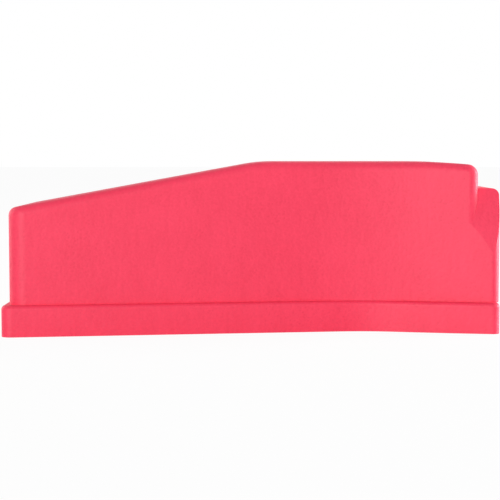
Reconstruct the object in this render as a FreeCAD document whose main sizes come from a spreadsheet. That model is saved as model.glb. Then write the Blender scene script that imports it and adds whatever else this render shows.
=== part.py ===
import FreeCAD, Part
import math
import os
import re
import Sketcher

# A palm-sized trimming cutter for climbing skins. X runs along the tool with the low nose at -X, Y runs
# from the palm side (-Y) to the ski side (+Y), and Z is up. The origin is on the sole, at the middle of the
# length.

V = FreeCAD.Vector
X_AXIS, Y_AXIS, Z_AXIS = V(1, 0, 0), V(0, 1, 0), V(0, 0, 1)
PALM = V(0, -1, 0)

SIZES = [
    # outer form
    ("BodyLength", 108.6, "nose to tail"),
    ("BodyDepth", 36.0, "palm side to back cover"),
    ("BaseHeight", 6.8, "height of the base, which is also the fence"),
    ("Ledge", 1.3, "how far the base stands out round the housing"),
    ("TopHeight", 37.6, "sole to the flat top"),
    ("NoseDrop", 9.96, "fall of the roof from the flat top to the nose wall"),
    ("ShoulderDrop", 5.8, "fall from the flat top to the tail shoulder"),
    ("FlatStart", 55.45, "nose end to where the slope meets the flat top"),
    ("FallLength", 13.3, "length over which the top falls before the block ends"),
    ("FallRadius", 121.0, "radius of the top's fall towards the tail"),
    ("ShoulderLength", 4.65, "end of the tall block to the tail"),
    ("WaistFromTail", 28.75, "waist to the tail"),
    ("WaistDepth", 11.1, "how far the waist is in from the nose corner"),
    ("TailDepth", 5.6, "how far the tail corner is in from the nose corner"),
    ("LobeRadius", 277.0, "swell of the palm side between waist and tail"),
    ("SetBack", 3.2, "how far the shoulder leans back at its top"),
    ("SetBackDrop", 20.8, "height over which the shoulder leans back"),
    # rounds
    ("BaseCorner", 2.2, "base corner at the nose"),
    ("BaseTailCorner", 1.6, "base corner at the tail"),
    ("BaseWaist", 33.0, "round of the waist on the base"),
    ("BaseTopRound", 0.9, "round on the base's top edge"),
    ("WallCorner", 3.6, "housing corner at the nose"),
    ("WallTailCorner", 1.6, "housing corner at the tail"),
    ("WallWaist", 90.0, "round of the waist on the housing"),
    ("SlopeRound", 36.0, "round from slope to flat top"),
    ("BlockRound", 2.4, "round at the end of the tall block"),
    ("ShoulderRound", 1.5, "round at the end of the shoulder"),
    ("TopRound", 1.9, "round along the nose and the palm side of the roof"),
    ("CoverRound", 1.2, "round along the back cover's edge"),
    # shell
    ("Wall", 2.4, "wall of the housing"),
    ("Floor", 1.8, "floor between the throat and the works"),
    ("CoverThick", 3.0, "back cover"),
    ("FenceY", 8.0, "fence face"),
    ("ThroatInner", -2.5, "closed side of the throat"),
    ("ThroatHeight", 5.0, "clear height for the skin"),
    ("ShoeLength", 92.0, "glide shoe"),
    ("ShoeThick", 1.0, "glide shoe"),
    ("SlotClear", 0.45, "gap each side of the blade"),
    ("Seat", 0.1, "gap round a piece that lies in a recess"),
    ("SoftGap", 0.3, "gap that a moving piece keeps from its neighbours"),
    # tongue and fence strip
    ("TongueThick", 1.0, "tongue plate"),
    ("TongueFront", -40.0, "tip of the tongue"),
    ("TongueTail", 36.0, "tail end of the tongue"),
    ("TongueInner", -1.0, "inner edge of the tongue"),
    ("TongueOuter", 17.0, "outer edge of the tongue"),
    ("TongueNib", 12.0, "length of the tongue's pointed nose"),
    ("TongueScrewY", 3.4, "line of the tongue screws"),
    ("TongueScrewPitch", 31.0, "between the tongue screws"),
    ("TongueSlot", 4.0, "length of the tongue's blade slot"),
    ("TongueRound", 1.5, "corners of the tongue"),
    ("StripThick", 0.8, "steel strip on the fence"),
    ("StripProud", 0.2, "how far the strip stands out of the fence"),
    ("StripLength", 96.0, "length of the strip"),
    ("StripHeight", 4.2, "height of the strip"),
    ("StripZ", 3.1, "middle of the strip"),
    ("StripPinPitch", 40.0, "between the strip's pins"),
    ("StripPinRadius", 0.8, "strip pin"),
    ("StripPinLength", 4.8, "strip pin"),
    # fasteners
    ("ScrewRadius", 1.25, "main screws"),
    ("HeadRadius", 2.3, "head of the main screws"),
    ("HeadHeight", 1.6, "head of the main screws"),
    ("ScrewLength", 9.2, "base screws under the head"),
    ("SocketRadius", 1.0, "hexagon socket, across its corners, halved"),
    ("SocketDepth", 1.0, "depth of the hexagon socket"),
    ("ScrewHoleClear", 0.2, "clearance of a screw in its hole"),
    ("HeadSink", 0.4, "depth of the heads below the face"),
    ("InsertRadius", 2.0, "threaded insert"),
    ("InsertLength", 4.8, "threaded insert"),
    ("InsertGroove", 0.25, "depth of the insert's groove"),
    ("SmallScrewRadius", 1.0, "countersunk screws"),
    ("SmallHeadRadius", 1.9, "head of the countersunk screws"),
    ("SmallHeadHeight", 0.9, "head of the countersunk screws"),
    ("SmallScrewLength", 2.7, "countersunk screws over all"),
    ("BossRadius", 3.0, "posts for the cover screws"),
    ("CoverScrewLength", 7.0, "cover screws under the head"),
    # blade and carriage
    ("WorksX", 0.0, "middle of the blade carriage"),
    ("BladeInset", 2.0, "edge strip of ski that the cut leaves free"),
    ("BladeThick", 0.5, "blade"),
    ("BladeWidth", 9.0, "blade"),
    ("BladeBelow", 13.0, "blade below its hole"),
    ("BladeAbove", 5.0, "blade above its hole"),
    ("BladeTilt", 30.0, "lean of the blade from upright"),
    ("BladeEdge", 1.1, "width of the ground edge"),
    ("BladeLand", 0.06, "thickness left at the ground edge"),
    ("BladeSlant", 20.0, "slant of the blade's ends"),
    ("BladeDip", 0.6, "how far the tip goes into the tongue"),
    ("BladeTravel", 6.4, "travel of the slide"),
    ("CarriageWidth", 18.0, "carriage along the tool"),
    ("CarriageHeight", 10.2, "carriage"),
    ("CarriageDepth", 8.4, "carriage across the tool"),
    ("RodRadius", 1.0, "guide rods"),
    ("RodPitch", 12.6, "between the guide rods"),
    ("RodInset", 2.25, "guide rods in from the blade's seat"),
    ("RunClear", 0.05, "radial clearance of the carriage on its rods"),
    ("RodBossRadius", 2.2, "sockets of the guide rods"),
    ("RodBossHeight", 1.4, "length of the guide rods in their upper sockets"),
    ("ClampThick", 1.2, "blade clamp"),
    ("ClampWidth", 12.0, "blade clamp"),
    ("ClampHeight", 9.0, "blade clamp"),
    ("BallRadius", 0.9, "detent ball"),
    ("BallBore", 0.95, "bore of the detent"),
    ("NotchDepth", 0.2, "detent notch in the rod"),
    ("DetentScrewLength", 1.4, "detent screw"),
    ("SpringWire", 0.12, "radius of the detent spring's wire"),
    ("SpringRadius", 0.68, "detent spring"),
    ("SpringPitch", 0.55, "detent spring"),
    # thumb slide
    ("NeckWidth", 7.0, "neck of the thumb slide"),
    ("PadWidth", 13.0, "pad of the thumb slide"),
    ("PadHeight", 11.0, "pad of the thumb slide"),
    ("PadThick", 3.0, "pad of the thumb slide"),
    ("PadRound", 1.6, "corners of the pad"),
    ("PadRibPitch", 2.2, "between the ribs"),
    ("PadGroove", 0.45, "depth of the grooves between the ribs"),
    ("ThumbScrewLength", 14.0, "thumb screw under the head"),
    # spare blades
    ("DoorInset", 23.1, "middle of the door to the end of the tall block"),
    ("DoorWidth", 25.0, "door"),
    ("DoorHeight", 16.0, "door"),
    ("DoorBottom", 16.6, "sole to the door's lower edge"),
    ("DoorThick", 2.0, "door"),
    ("DoorGap", 0.2, "gap round the door"),
    ("KnuckleRadius", 1.2, "knuckle of the door"),
    ("HingePinRadius", 0.6, "hinge pin"),
    ("HingePinReach", 2.2, "length of the hinge pin in the cover at each end"),
    ("DoorNotchRadius", 4.0, "finger notch in the door's upper edge"),
    ("DoorNotchDepth", 1.0, "finger notch in the door's upper edge"),
    ("TrayDepth", 7.2, "blade tray"),
    ("TrayWall", 1.0, "blade tray"),
    ("SparePitch", 0.8, "between the spare blades"),
    ("SpareGap", 0.4, "spare blades off the tray"),
]

# What follows from the driving sizes, as formulas on their names.
DERIVED = {
    "NoseX": "-BodyLength / 2",
    "TailX": "BodyLength / 2",
    "PalmY": "-BodyDepth / 2",
    "BackY": "BodyDepth / 2",
    "CoverY": "BackY - CoverThick",
    "WallNoseX": "NoseX + Ledge",
    "NoseHeight": "TopHeight - NoseDrop",
    "ShoulderHeight": "TopHeight - ShoulderDrop",
    "WaistX": "TailX - WaistFromTail",
    "WaistStart": "BodyLength - WaistFromTail",
    "BlockEndX": "TailX - ShoulderLength",
    "FlatX": "NoseX + FlatStart",
    "TailRate": "(WaistDepth - TailDepth) / WaistFromTail",
    "TailSlant": "sqrt(1 + TailRate ^ 2)",
    "CornerReach": "TopRound * (TailSlant + TailRate)",
    "LeanX": "BlockEndX - CornerReach / TailSlant",
    "LeanRadius": "(SetBackDrop ^ 2 + SetBack ^ 2) / (2 * SetBack)",
    "FallX": "BlockEndX - FallLength",
    "FallDrop": "FallRadius - sqrt(FallRadius ^ 2 - FallLength ^ 2)",
    "SlopeRate": "(TopHeight - NoseHeight) / (FlatX - WallNoseX)",
    "WallSlopeSlant": "sqrt(1 + SlopeRate ^ 2)",
    "ThroatTop": "BaseHeight + ThroatHeight",
    "FloorBottom": "ThroatTop + ShoeThick",
    "FloorTop": "FloorBottom + Floor",
    "TongueTop": "BaseHeight",
    "TongueZ": "BaseHeight - TongueThick",
    "StripY": "FenceY + StripProud",
    "BladeY": "StripY + BladeInset",
    "BladeFaceY": "BladeY - BladeThick / 2",
    "ClampY": "BladeY + BladeThick / 2",
    "NeckY": "ClampY + ClampThick",
    "PadY": "BackY + SoftGap",
    "BladeReach": "BladeWidth / 2 * sin(BladeTilt) + BladeBelow * cos(BladeTilt)",
    "BladeTipX": "WorksX - BladeWidth / 2 * cos(BladeTilt) + BladeBelow * sin(BladeTilt)",
    "BladeEndX": "BladeTipX + BladeWidth * cos(BladeTilt)",
    "ThumbZ": "TongueTop - BladeDip + BladeTravel + BladeReach",
    "CarriageBottom": "FloorTop + BladeTravel + SoftGap",
    "CarriageTop": "CarriageBottom + CarriageHeight",
    "RodY": "BladeFaceY - RodInset",
    "RodTop": "CarriageTop + 2 * SoftGap + RodBossHeight",
    "DetentZ": "CarriageBottom + CarriageHeight / 2",
    "DetentX": "WorksX + RodPitch / 2",
    "BallY": "RodY - RodRadius - RunClear - BallRadius",
    "CarriageFrontY": "BladeFaceY - CarriageDepth",
    "DoorMiddle": "BlockEndX - DoorInset",
    "DoorLeft": "DoorMiddle - DoorWidth / 2",
    "HingeY": "BackY - KnuckleRadius",
    "HingeZ": "DoorBottom + DoorGap + KnuckleRadius",
    "TrayY": "CoverY - TrayDepth",
    "BladeSpan": "BladeAbove + BladeBelow",
}

doc = FreeCAD.newDocument("SkinCutter")
sheet = doc.addObject("Spreadsheet::Sheet", "Sizes")
for row, (alias, number, meaning) in enumerate(SIZES, start=1):
    sheet.set(f"A{row}", str(number))
    sheet.setAlias(f"A{row}", alias)
    sheet.set(f"B{row}", meaning)
doc.recompute()

ALIASES = {alias for alias, number, meaning in SIZES}
NODES = []


def expand(formula):
    """Write a formula on the names above as an expression that the document can hold."""

    def put(match):
        word = match.group(0)
        if word in ALIASES:
            return "Sizes." + word
        if word in DERIVED:
            return "(" + expand(DERIVED[word]) + ")"
        return word

    return re.sub(r"[A-Za-z_]\w*", put, str(formula))


def value(formula):
    """The formula's number now."""
    return float(sheet.evalExpression(expand(formula)))


def bind(thing, prop, formula):
    """Tie a property to the sheet."""
    thing.setExpression(prop, expand(formula))


def place(thing, x="0", y="0", z="0", turn=None):
    """Put an object at a point given by formulas, turned if asked."""
    if turn is not None:
        thing.Placement = FreeCAD.Placement(V(0, 0, 0), turn)
    for prop, formula in (("x", x), ("y", y), ("z", z)):
        bind(thing, "Placement.Base." + prop, formula)


def node(thing, name):
    """Mark an object as a finished sub-part."""
    thing.Label = name
    NODES.append(thing)
    return thing


# Part primitives and booleans


def box(name, x0, x1, y0, y1, z0, z1):
    """A box between two corners."""
    solid = doc.addObject("Part::Box", name)
    bind(solid, "Length", f"({x1}) - ({x0})")
    bind(solid, "Width", f"({y1}) - ({y0})")
    bind(solid, "Height", f"({z1}) - ({z0})")
    place(solid, x0, y0, z0)
    return solid


def rod(name, axis, radius, length, x, y, z):
    """A cylinder from a point along an axis."""
    solid = doc.addObject("Part::Cylinder", name)
    bind(solid, "Radius", radius)
    bind(solid, "Height", length)
    place(solid, x, y, z, FreeCAD.Rotation(Z_AXIS, axis))
    return solid


def cone(name, axis, radius_from, radius_to, length, x, y, z):
    """A cone from a point along an axis."""
    solid = doc.addObject("Part::Cone", name)
    bind(solid, "Radius1", radius_from)
    bind(solid, "Radius2", radius_to)
    bind(solid, "Height", length)
    place(solid, x, y, z, FreeCAD.Rotation(Z_AXIS, axis))
    return solid


def hexagon(name, axis, radius, length, x, y, z):
    """A hexagonal prism from a point along an axis."""
    solid = doc.addObject("Part::Prism", name)
    solid.Polygon = 6
    bind(solid, "Circumradius", radius)
    bind(solid, "Height", length)
    place(solid, x, y, z, FreeCAD.Rotation(Z_AXIS, axis))
    return solid


def fuse(name, parts):
    """Join solids."""
    joined = doc.addObject("Part::MultiFuse", name)
    joined.Shapes = parts
    return joined


def cut(name, base, tools):
    """Take solids away."""
    left = doc.addObject("Part::Cut", name)
    left.Base = base
    left.Tool = fuse(name + "Tools", tools) if len(tools) > 1 else tools[0]
    return left


def group(name, parts):
    """Keep like solids in one sub-part."""
    many = doc.addObject("Part::Compound", name)
    many.Links = parts
    return many


def rounded(name, base, radius, test):
    """Round the edges of a solid that pass a test."""
    doc.recompute()
    result = doc.addObject("Part::Fillet", name)
    result.Base = base
    size = value(radius)
    result.Edges = [(i, size, size) for i, edge in enumerate(base.Shape.Edges, start=1) if test(edge)]
    return result


# Bodies with sketches


def origin_plane(body, role):
    """A body's own origin plane."""
    return next(f for f in body.Origin.OriginFeatures if f.Role == role)


def outline(body, name, role, corners, lift="0"):
    """A closed sketch through corners (x, y) given by formulas, lifted off a plane along its normal.

    A third value on a corner makes the side that leaves it an arc of that radius, bulging to the right of the
    way round if it starts with a minus sign and to the left if not.
    """
    sketch = body.newObject("Sketcher::SketchObject", name)
    sketch.AttachmentSupport = [(origin_plane(body, role), "")]
    sketch.MapMode = "FlatFace"
    bind(sketch, "AttachmentOffset.Base.z", lift)
    points = [V(value(c[0]), value(c[1]), 0) for c in corners]
    count = len(corners)
    ends = []
    for i in range(count):
        a, b = points[i], points[(i + 1) % count]
        if len(corners[i]) == 3:
            radius = value(corners[i][2])
            half = (b - a) * 0.5
            outwards = V(-half.y, half.x, 0).normalize() * (1 if radius > 0 else -1)
            centre = a + half - outwards * (radius**2 - half.Length**2) ** 0.5
            first, last = (b, a) if radius > 0 else (a, b)
            spokes = [math.atan2(p.y - centre.y, p.x - centre.x) for p in (first, last)]
            arc = Part.ArcOfCircle(Part.Circle(centre, Z_AXIS, abs(radius)), *spokes)
            side_index = sketch.addGeometry(arc, False)
            ends.append((2, 1) if radius > 0 else (1, 2))
            limit = sketch.addConstraint(Sketcher.Constraint("Radius", side_index, abs(radius)))
            bind(sketch, f"Constraints[{limit}]", f"abs({corners[i][2]})")
        else:
            sketch.addGeometry(Part.LineSegment(a, b), False)
            ends.append((1, 2))
    for i in range(count):
        after = (i + 1) % count
        sketch.addConstraint(Sketcher.Constraint("Coincident", i, ends[i][1], after, ends[after][0]))
    for i in range(count):
        for kind, number, formula in (("DistanceX", points[i].x, corners[i][0]),
                                      ("DistanceY", points[i].y, corners[i][1])):
            made = sketch.addConstraint(Sketcher.Constraint(kind, -1, 1, i, ends[i][0], number))
            bind(sketch, f"Constraints[{made}]", formula)
    return sketch


def circle_sketch(body, name, role, x, y, radius, lift="0"):
    """A sketch of one circle."""
    sketch = body.newObject("Sketcher::SketchObject", name)
    sketch.AttachmentSupport = [(origin_plane(body, role), "")]
    sketch.MapMode = "FlatFace"
    bind(sketch, "AttachmentOffset.Base.z", lift)
    sketch.addGeometry(Part.Circle(V(value(x), value(y), 0), Z_AXIS, value(radius)), False)
    for kind, number, formula in (("DistanceX", value(x), x), ("DistanceY", value(y), y)):
        made = sketch.addConstraint(Sketcher.Constraint(kind, -1, 1, 0, 3, number))
        bind(sketch, f"Constraints[{made}]", formula)
    made = sketch.addConstraint(Sketcher.Constraint("Radius", 0, value(radius)))
    bind(sketch, f"Constraints[{made}]", radius)
    return sketch


def new_body(name):
    """An empty body."""
    return doc.addObject("PartDesign::Body", name)


def pad(body, sketch, length, reverse=False):
    """Raise a sketch."""
    feature = body.newObject("PartDesign::Pad", sketch.Name + "Pad")
    feature.Profile = sketch
    feature.Reversed = reverse
    bind(feature, "Length", length)
    doc.recompute()
    return feature


def pocket(body, sketch, length, reverse=False):
    """Sink a sketch, and make sure that it takes something away."""
    before = body.Shape.Volume
    feature = body.newObject("PartDesign::Pocket", sketch.Name + "Pocket")
    feature.Profile = sketch
    feature.Reversed = reverse
    bind(feature, "Length", length)
    doc.recompute()
    if body.Shape.Volume > before - 1e-3:
        raise RuntimeError(sketch.Name + " takes nothing away")
    return feature


def fillet(body, name, radius, test):
    """Round the body's edges that pass a test."""
    base = body.Tip
    names = [f"Edge{i}" for i, edge in enumerate(base.Shape.Edges, start=1) if test(edge)]
    if not names:
        raise RuntimeError(name + " finds no edge")
    feature = body.newObject("PartDesign::Fillet", name)
    feature.Base = (base, names)
    bind(feature, "Radius", radius)
    doc.recompute()
    return feature


def upright_at(x, y):
    """A test for the upright edge over a point of the plan."""
    at = V(value(x), value(y), 0)

    def test(edge):
        size = edge.BoundBox
        middle = V(edge.CenterOfMass.x, edge.CenterOfMass.y, 0)
        return size.XLength < 0.01 and size.YLength < 0.01 and middle.distanceToPoint(at) < 0.05

    return test


def across_at(x, z):
    """A test for the edge along Y through a point of the side view."""
    at = V(value(x), 0, value(z))

    def test(edge):
        size = edge.BoundBox
        middle = V(edge.CenterOfMass.x, 0, edge.CenterOfMass.z)
        return size.XLength < 0.01 and size.ZLength < 0.01 and middle.distanceToPoint(at) < 0.05

    return test


# Shared outlines


def palm_side(ledge, nose_x, tail_x):
    """The palm side from nose to tail, bent inwards at the waist."""
    rate = "WaistDepth / WaistStart"
    start = f"PalmY + ({ledge}) + ({rate}) * (({nose_x}) - NoseX)"
    return [
        (nose_x, start),
        ("WaistX", f"PalmY + WaistDepth + ({ledge})"),
        (tail_x, f"PalmY + TailDepth + ({ledge})"),
    ]


def side_view(inset, bottom):
    """The side view of the housing, inset by the same amount all round above a given bottom."""
    return [
        (f"WallNoseX + ({inset})", bottom),
        (f"WallNoseX + ({inset})", f"NoseHeight + SlopeRate * ({inset}) - ({inset}) * WallSlopeSlant"),
        ("FlatX", f"TopHeight - ({inset})"),
        ("FallX", f"TopHeight - ({inset})", "FallRadius"),
        (f"BlockEndX - ({inset})", f"TopHeight - FallDrop - ({inset})"),
        (f"BlockEndX - ({inset})", f"ShoulderHeight - ({inset})"),
        (f"TailX - ({inset})", f"ShoulderHeight - ({inset})"),
        (f"TailX - ({inset})", bottom),
    ]


def roof_rounds(body):
    """Round the side view's corners, on the housing and on the cover. The nose follows with the edge."""
    fillet(body, body.Name + "SlopeRound", "SlopeRound", across_at("FlatX", "TopHeight"))
    fillet(body, body.Name + "BlockRound", "BlockRound", across_at("BlockEndX", "TopHeight - FallDrop"))
    fillet(body, body.Name + "ShoulderRound", "ShoulderRound", across_at("TailX", "ShoulderHeight"))


def cut_roof(body, inset):
    """Take away all that stands above the roof line."""
    above = side_view(inset, "BaseHeight")[1:-1]
    over = "TopHeight + 5"
    sky = [("WallNoseX - 5", over), ("WallNoseX - 5", f"{above[0][1]} - SlopeRate * (5 + ({inset}))")]
    sky += above[1:-1] + [("TailX + 5", above[-1][1]), ("TailX + 5", over)]
    pocket(body, outline(body, body.Name + "Sky", "XZ_Plane", sky, "-BackY"), "BodyDepth + 5", True)


def roof_at(x):
    """The height of the roof over a place left of the tall block's end."""
    return f"min(TopHeight; NoseHeight + SlopeRate * (({x}) - WallNoseX))"


BASE_SCREWS = [("NoseX + 8.6", "-9.4"), ("NoseX + 41.6", "-6.8"), ("TailX - 7.6", "-6.4")]
COVER_SCREWS = [("WallNoseX + 5.2", "FloorTop + 2.8"), ("FlatX - 15.0", "TopHeight - 7.6"),
                ("TailX - 5.2", "FloorTop + 2.8"), ("BlockEndX - 5.2", "TopHeight - FallDrop - 5.2")]
TONGUE_SCREWS = ["-TongueScrewPitch", "0", "TongueScrewPitch"]
SHOE_SCREWS = [("-38", "1.6"), ("-38", "12.6"), ("38", "1.6"), ("38", "12.6")]
ROD_PLACES = ["WorksX - RodPitch / 2", "WorksX + RodPitch / 2"]
STRIP_PINS = ["-StripPinPitch", "0", "StripPinPitch"]


def socket_screw(name, axis, x, y, z, length):
    """A cylinder-head screw with a hexagon socket. The point is the outer face of its head."""
    head = rod(name + "Head", axis, "HeadRadius", "HeadHeight", x, y, z)
    reach = f"HeadHeight + {length}"
    shank = rod(name + "Shank", axis, "ScrewRadius", reach, x, y, z)
    socket = hexagon(name + "Socket", axis, "SocketRadius", "SocketDepth", x, y, z)
    return cut(name, fuse(name + "Solid", [head, shank]), [socket])


def flat_screw(name, axis, x, y, z):
    """A countersunk screw with a hexagon socket. The point is the flat face of its head."""
    head = cone(name + "Head", axis, "SmallHeadRadius", "SmallScrewRadius", "SmallHeadHeight", x, y, z)
    shank = rod(name + "Shank", axis, "SmallScrewRadius", "SmallScrewLength", x, y, z)
    socket = hexagon(name + "Socket", axis, "SmallScrewRadius * 0.7", "SmallHeadHeight * 0.7", x, y, z)
    return cut(name, fuse(name + "Solid", [head, shank]), [socket])


def flat_screw_seat(name, axis, x, y, z, length):
    """What a countersunk screw takes out of the pieces that it holds."""
    head = cone(name + "Cone", axis, "SmallHeadRadius", "SmallScrewRadius", "SmallHeadHeight", x, y, z)
    hole = rod(name + "Hole", axis, "SmallScrewRadius", length, x, y, z)
    return fuse(name, [head, hole])


# Sub-parts


def make_base():
    """The base: the foot, the ledge round the housing and the fence in one moulding."""
    body = new_body("BaseBody")
    corners = palm_side("0", "NoseX", "TailX") + [("TailX", "FenceY"), ("NoseX", "FenceY")]
    corners[1] += ("-LobeRadius",)
    pad(body, outline(body, "BasePlan", "XY_Plane", corners), "BaseHeight")
    fillet(body, "BaseWaistRound", "BaseWaist", upright_at("WaistX", "PalmY + WaistDepth"))
    fillet(body, "BaseNoseRound", "BaseCorner", upright_at("NoseX", "PalmY"))
    fillet(body, "BaseTailRound", "BaseTailCorner", upright_at("TailX", "PalmY + TailDepth"))
    top = value("BaseHeight")
    fence = value("FenceY")

    def on_ledge(edge):
        size = edge.BoundBox
        return size.ZMin > top - 0.01 and size.YMin < fence - 1 and size.XMax < value("TailX") - 0.5

    fillet(body, "BaseTopRounds", "BaseTopRound", on_ledge)
    tools = [box("TongueRecess", "TongueFront - TongueNib - Seat", "TongueTail + Seat", "TongueInner - Seat",
                 "FenceY + 1", "TongueZ", "BaseHeight + 1")]
    tools.append(box("StripRecess", "-StripLength / 2 - Seat", "StripLength / 2 + Seat",
                     "StripY - StripThick", "FenceY + 1",
                     "StripZ - StripHeight / 2 - Seat", "StripZ + StripHeight / 2 + Seat"))
    for i, (x, y) in enumerate(BASE_SCREWS):
        tools.append(rod(f"BaseCounterbore{i}", Z_AXIS, "HeadRadius + ScrewHoleClear",
                         "HeadSink + HeadHeight + 1", x, y, "-1"))
        tools.append(rod(f"BaseHole{i}", Z_AXIS, "ScrewRadius + ScrewHoleClear", "BaseHeight + 2",
                         x, y, "-1"))
    for i, x in enumerate(TONGUE_SCREWS):
        tools.append(rod(f"TonguePilot{i}", -Z_AXIS, "SmallScrewRadius", "SmallScrewLength",
                         x, "TongueScrewY", "TongueTop"))
    for i, x in enumerate(STRIP_PINS):
        tools.append(rod(f"StripPinHole{i}", PALM, "StripPinRadius", "StripPinLength",
                         x, "StripY", "StripZ"))
    node(cut("Base", body, tools), "base_plate")


def make_housing_block():
    """The outer form of the housing, with its rounds."""
    body = new_body("HousingBlock")
    corners = palm_side("Ledge", "WallNoseX", "TailX") + [("TailX", "CoverY"), ("WallNoseX", "CoverY")]
    plan = outline(body, "HousingPlan", "XY_Plane", corners, "BaseHeight")
    pad(body, plan, "TopHeight - BaseHeight")
    cut_roof(body, "0")
    fillet(body, "WallWaistRound", "WallWaist", upright_at("WaistX", "PalmY + WaistDepth + Ledge"))
    fillet(body, "WallNoseRound", "WallCorner",
           upright_at("WallNoseX", "PalmY + Ledge + WaistDepth / WaistStart * Ledge"))
    fillet(body, "WallTailRound", "WallTailCorner", upright_at("TailX", "PalmY + TailDepth + Ledge"))
    roof_rounds(body)
    roof = value("NoseHeight")

    def on_nose_top(edge):
        size = edge.BoundBox
        return size.YLength > 20 and abs(size.ZMax - roof) < 0.1 and size.XLength < 0.1

    fillet(body, "TopRounds", "TopRound", on_nose_top)
    lean_shoulder(body, "0")
    wall = "PalmY + TailDepth + Ledge + (TailX - BlockEndX) * TailRate"
    corners = [("LeanX", f"{wall} + CornerReach * TailRate / TailSlant", "-TopRound"),
               ("BlockEndX", f"{wall} + CornerReach"),
               ("BlockEndX", f"{wall} + CornerReach + SetBack"),
               ("LeanX", f"{wall} + CornerReach + SetBack")]
    corner = outline(body, "BlockCorner", "XY_Plane", corners, "ShoulderHeight - SetBackDrop")
    pad(body, corner, "SetBackDrop")
    return body


def lean_shoulder(body, inset):
    """Lean the shoulder's palm side back on a long arc that leaves the wall upright at its foot."""
    foot = "ShoulderHeight - SetBackDrop"
    front = f"PalmY + TailDepth + Ledge + ({inset})"
    corners = [(front, foot, "LeanRadius"), (f"{front} + SetBack", "ShoulderHeight"),
               (f"{front} - 5", "ShoulderHeight"), (f"{front} - 5", foot)]
    sketch = outline(body, body.Name + "Lean", "YZ_Plane", corners, f"LeanX - ({inset})")
    pocket(body, sketch, "TailX - LeanX + 5", True)


def make_housing():
    """The housing: a tray open to the cover, with the throat under its floor."""
    outer = make_housing_block()
    core = new_body("HousingCore")
    corners = palm_side("Ledge + Wall", "WallNoseX + Wall", "TailX - Wall")
    corners += [("TailX - Wall", "BackY"), ("WallNoseX + Wall", "BackY")]
    pad(core, outline(core, "CorePlan", "XY_Plane", corners, "FloorTop"), "TopHeight - FloorTop")
    cut_roof(core, "Wall")
    lean_shoulder(core, "Wall")
    throat = box("Throat", "NoseX - 1", "TailX + 1", "ThroatInner", "BackY", "BaseHeight - 1", "FloorBottom")
    posts = []
    tools = [blade_slot("HousingSlot", "FloorBottom - 1", "FloorTop + 1")]
    for i, (x, z) in enumerate(COVER_SCREWS):
        inside = f"PalmY + Ledge + Wall / 2 + WaistDepth / WaistStart * min(({x}) - NoseX; WaistStart)"
        posts.append(rod(f"CoverPost{i}", Y_AXIS, "BossRadius", f"CoverY - ({inside})", x, inside, z))
        tools.append(rod(f"CoverPilot{i}", PALM, "ScrewRadius", "CoverScrewLength", x, "CoverY", z))
    for i, x in enumerate(ROD_PLACES):
        low = "CarriageTop + SoftGap"
        posts.append(rod(f"RodSocket{i}", Z_AXIS, "RodBossRadius", f"{roof_at(x)} - Wall / 2 - ({low})",
                         x, "RodY", low))
        tools.append(rod(f"RodHole{i}", Z_AXIS, "RodRadius", "RodTop - FloorBottom + Seat", x, "RodY",
                         "FloorBottom"))
    for i, (x, y) in enumerate(BASE_SCREWS):
        tools.append(rod(f"InsertHole{i}", Z_AXIS, "InsertRadius", "InsertLength", x, y, "BaseHeight"))
        tools.append(rod(f"InsertRunout{i}", Z_AXIS, "ScrewRadius + ScrewHoleClear",
                         "FloorBottom - BaseHeight - 0.4", x, y, "BaseHeight"))
    for i, (x, y) in enumerate(SHOE_SCREWS):
        tools.append(rod(f"ShoePilot{i}", Z_AXIS, "SmallScrewRadius", "SmallScrewLength", x, y, "ThroatTop"))
    shell = cut("HousingShell", outer, [core, throat])
    node(cut("Housing", fuse("HousingPosts", [shell] + posts), tools), "housing_shell")


def blade_slot(name, low, high):
    """The slot that the blade passes through, wherever it is on its travel."""
    start = "BladeTipX - (FloorTop - TongueTop + BladeDip) * tan(BladeTilt) - SlotClear"
    half = "BladeThick / 2 + SlotClear"
    return box(name, start, "BladeEndX + SlotClear", f"BladeY - ({half})", f"BladeY + {half}", low, high)


def make_inserts():
    """Brass threaded inserts with a retaining groove."""
    made = []
    for i, (x, y) in enumerate(BASE_SCREWS):
        outer = rod(f"InsertOuter{i}", Z_AXIS, "InsertRadius", "InsertLength", x, y, "BaseHeight")
        bore = rod(f"InsertBore{i}", Z_AXIS, "ScrewRadius", "InsertLength", x, y, "BaseHeight")
        ring = rod(f"InsertRing{i}", Z_AXIS, "InsertRadius + 1", "InsertLength / 5", x, y,
                   "BaseHeight + InsertLength * 0.4")
        waist = rod(f"InsertNeck{i}", Z_AXIS, "InsertRadius - InsertGroove", "InsertLength / 5", x, y,
                    "BaseHeight + InsertLength * 0.4")
        made.append(cut(f"Insert{i}", outer, [bore, cut(f"InsertGrooveCut{i}", ring, [waist])]))
    node(group("Inserts", made), "threaded_inserts")


def make_screws():
    """The screws that hold base, cover, tongue and shoe."""
    base = [socket_screw(f"BaseScrew{i}", Z_AXIS, x, y, "HeadSink", "ScrewLength")
            for i, (x, y) in enumerate(BASE_SCREWS)]
    node(group("BaseScrews", base), "base_screws")
    cover = [socket_screw(f"CoverScrew{i}", PALM, x, "BackY - HeadSink", z, "CoverScrewLength - HeadSink")
             for i, (x, z) in enumerate(COVER_SCREWS)]
    node(group("CoverScrews", cover), "cover_screws")
    tongue = [flat_screw(f"TongueScrew{i}", -Z_AXIS, x, "TongueScrewY", "TongueTop")
              for i, x in enumerate(TONGUE_SCREWS)]
    node(group("TongueScrews", tongue), "tongue_screws")
    shoe = [flat_screw(f"ShoeScrew{i}", Z_AXIS, x, y, "ThroatTop") for i, (x, y) in enumerate(SHOE_SCREWS)]
    node(group("ShoeScrews", shoe), "shoe_screws")


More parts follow.
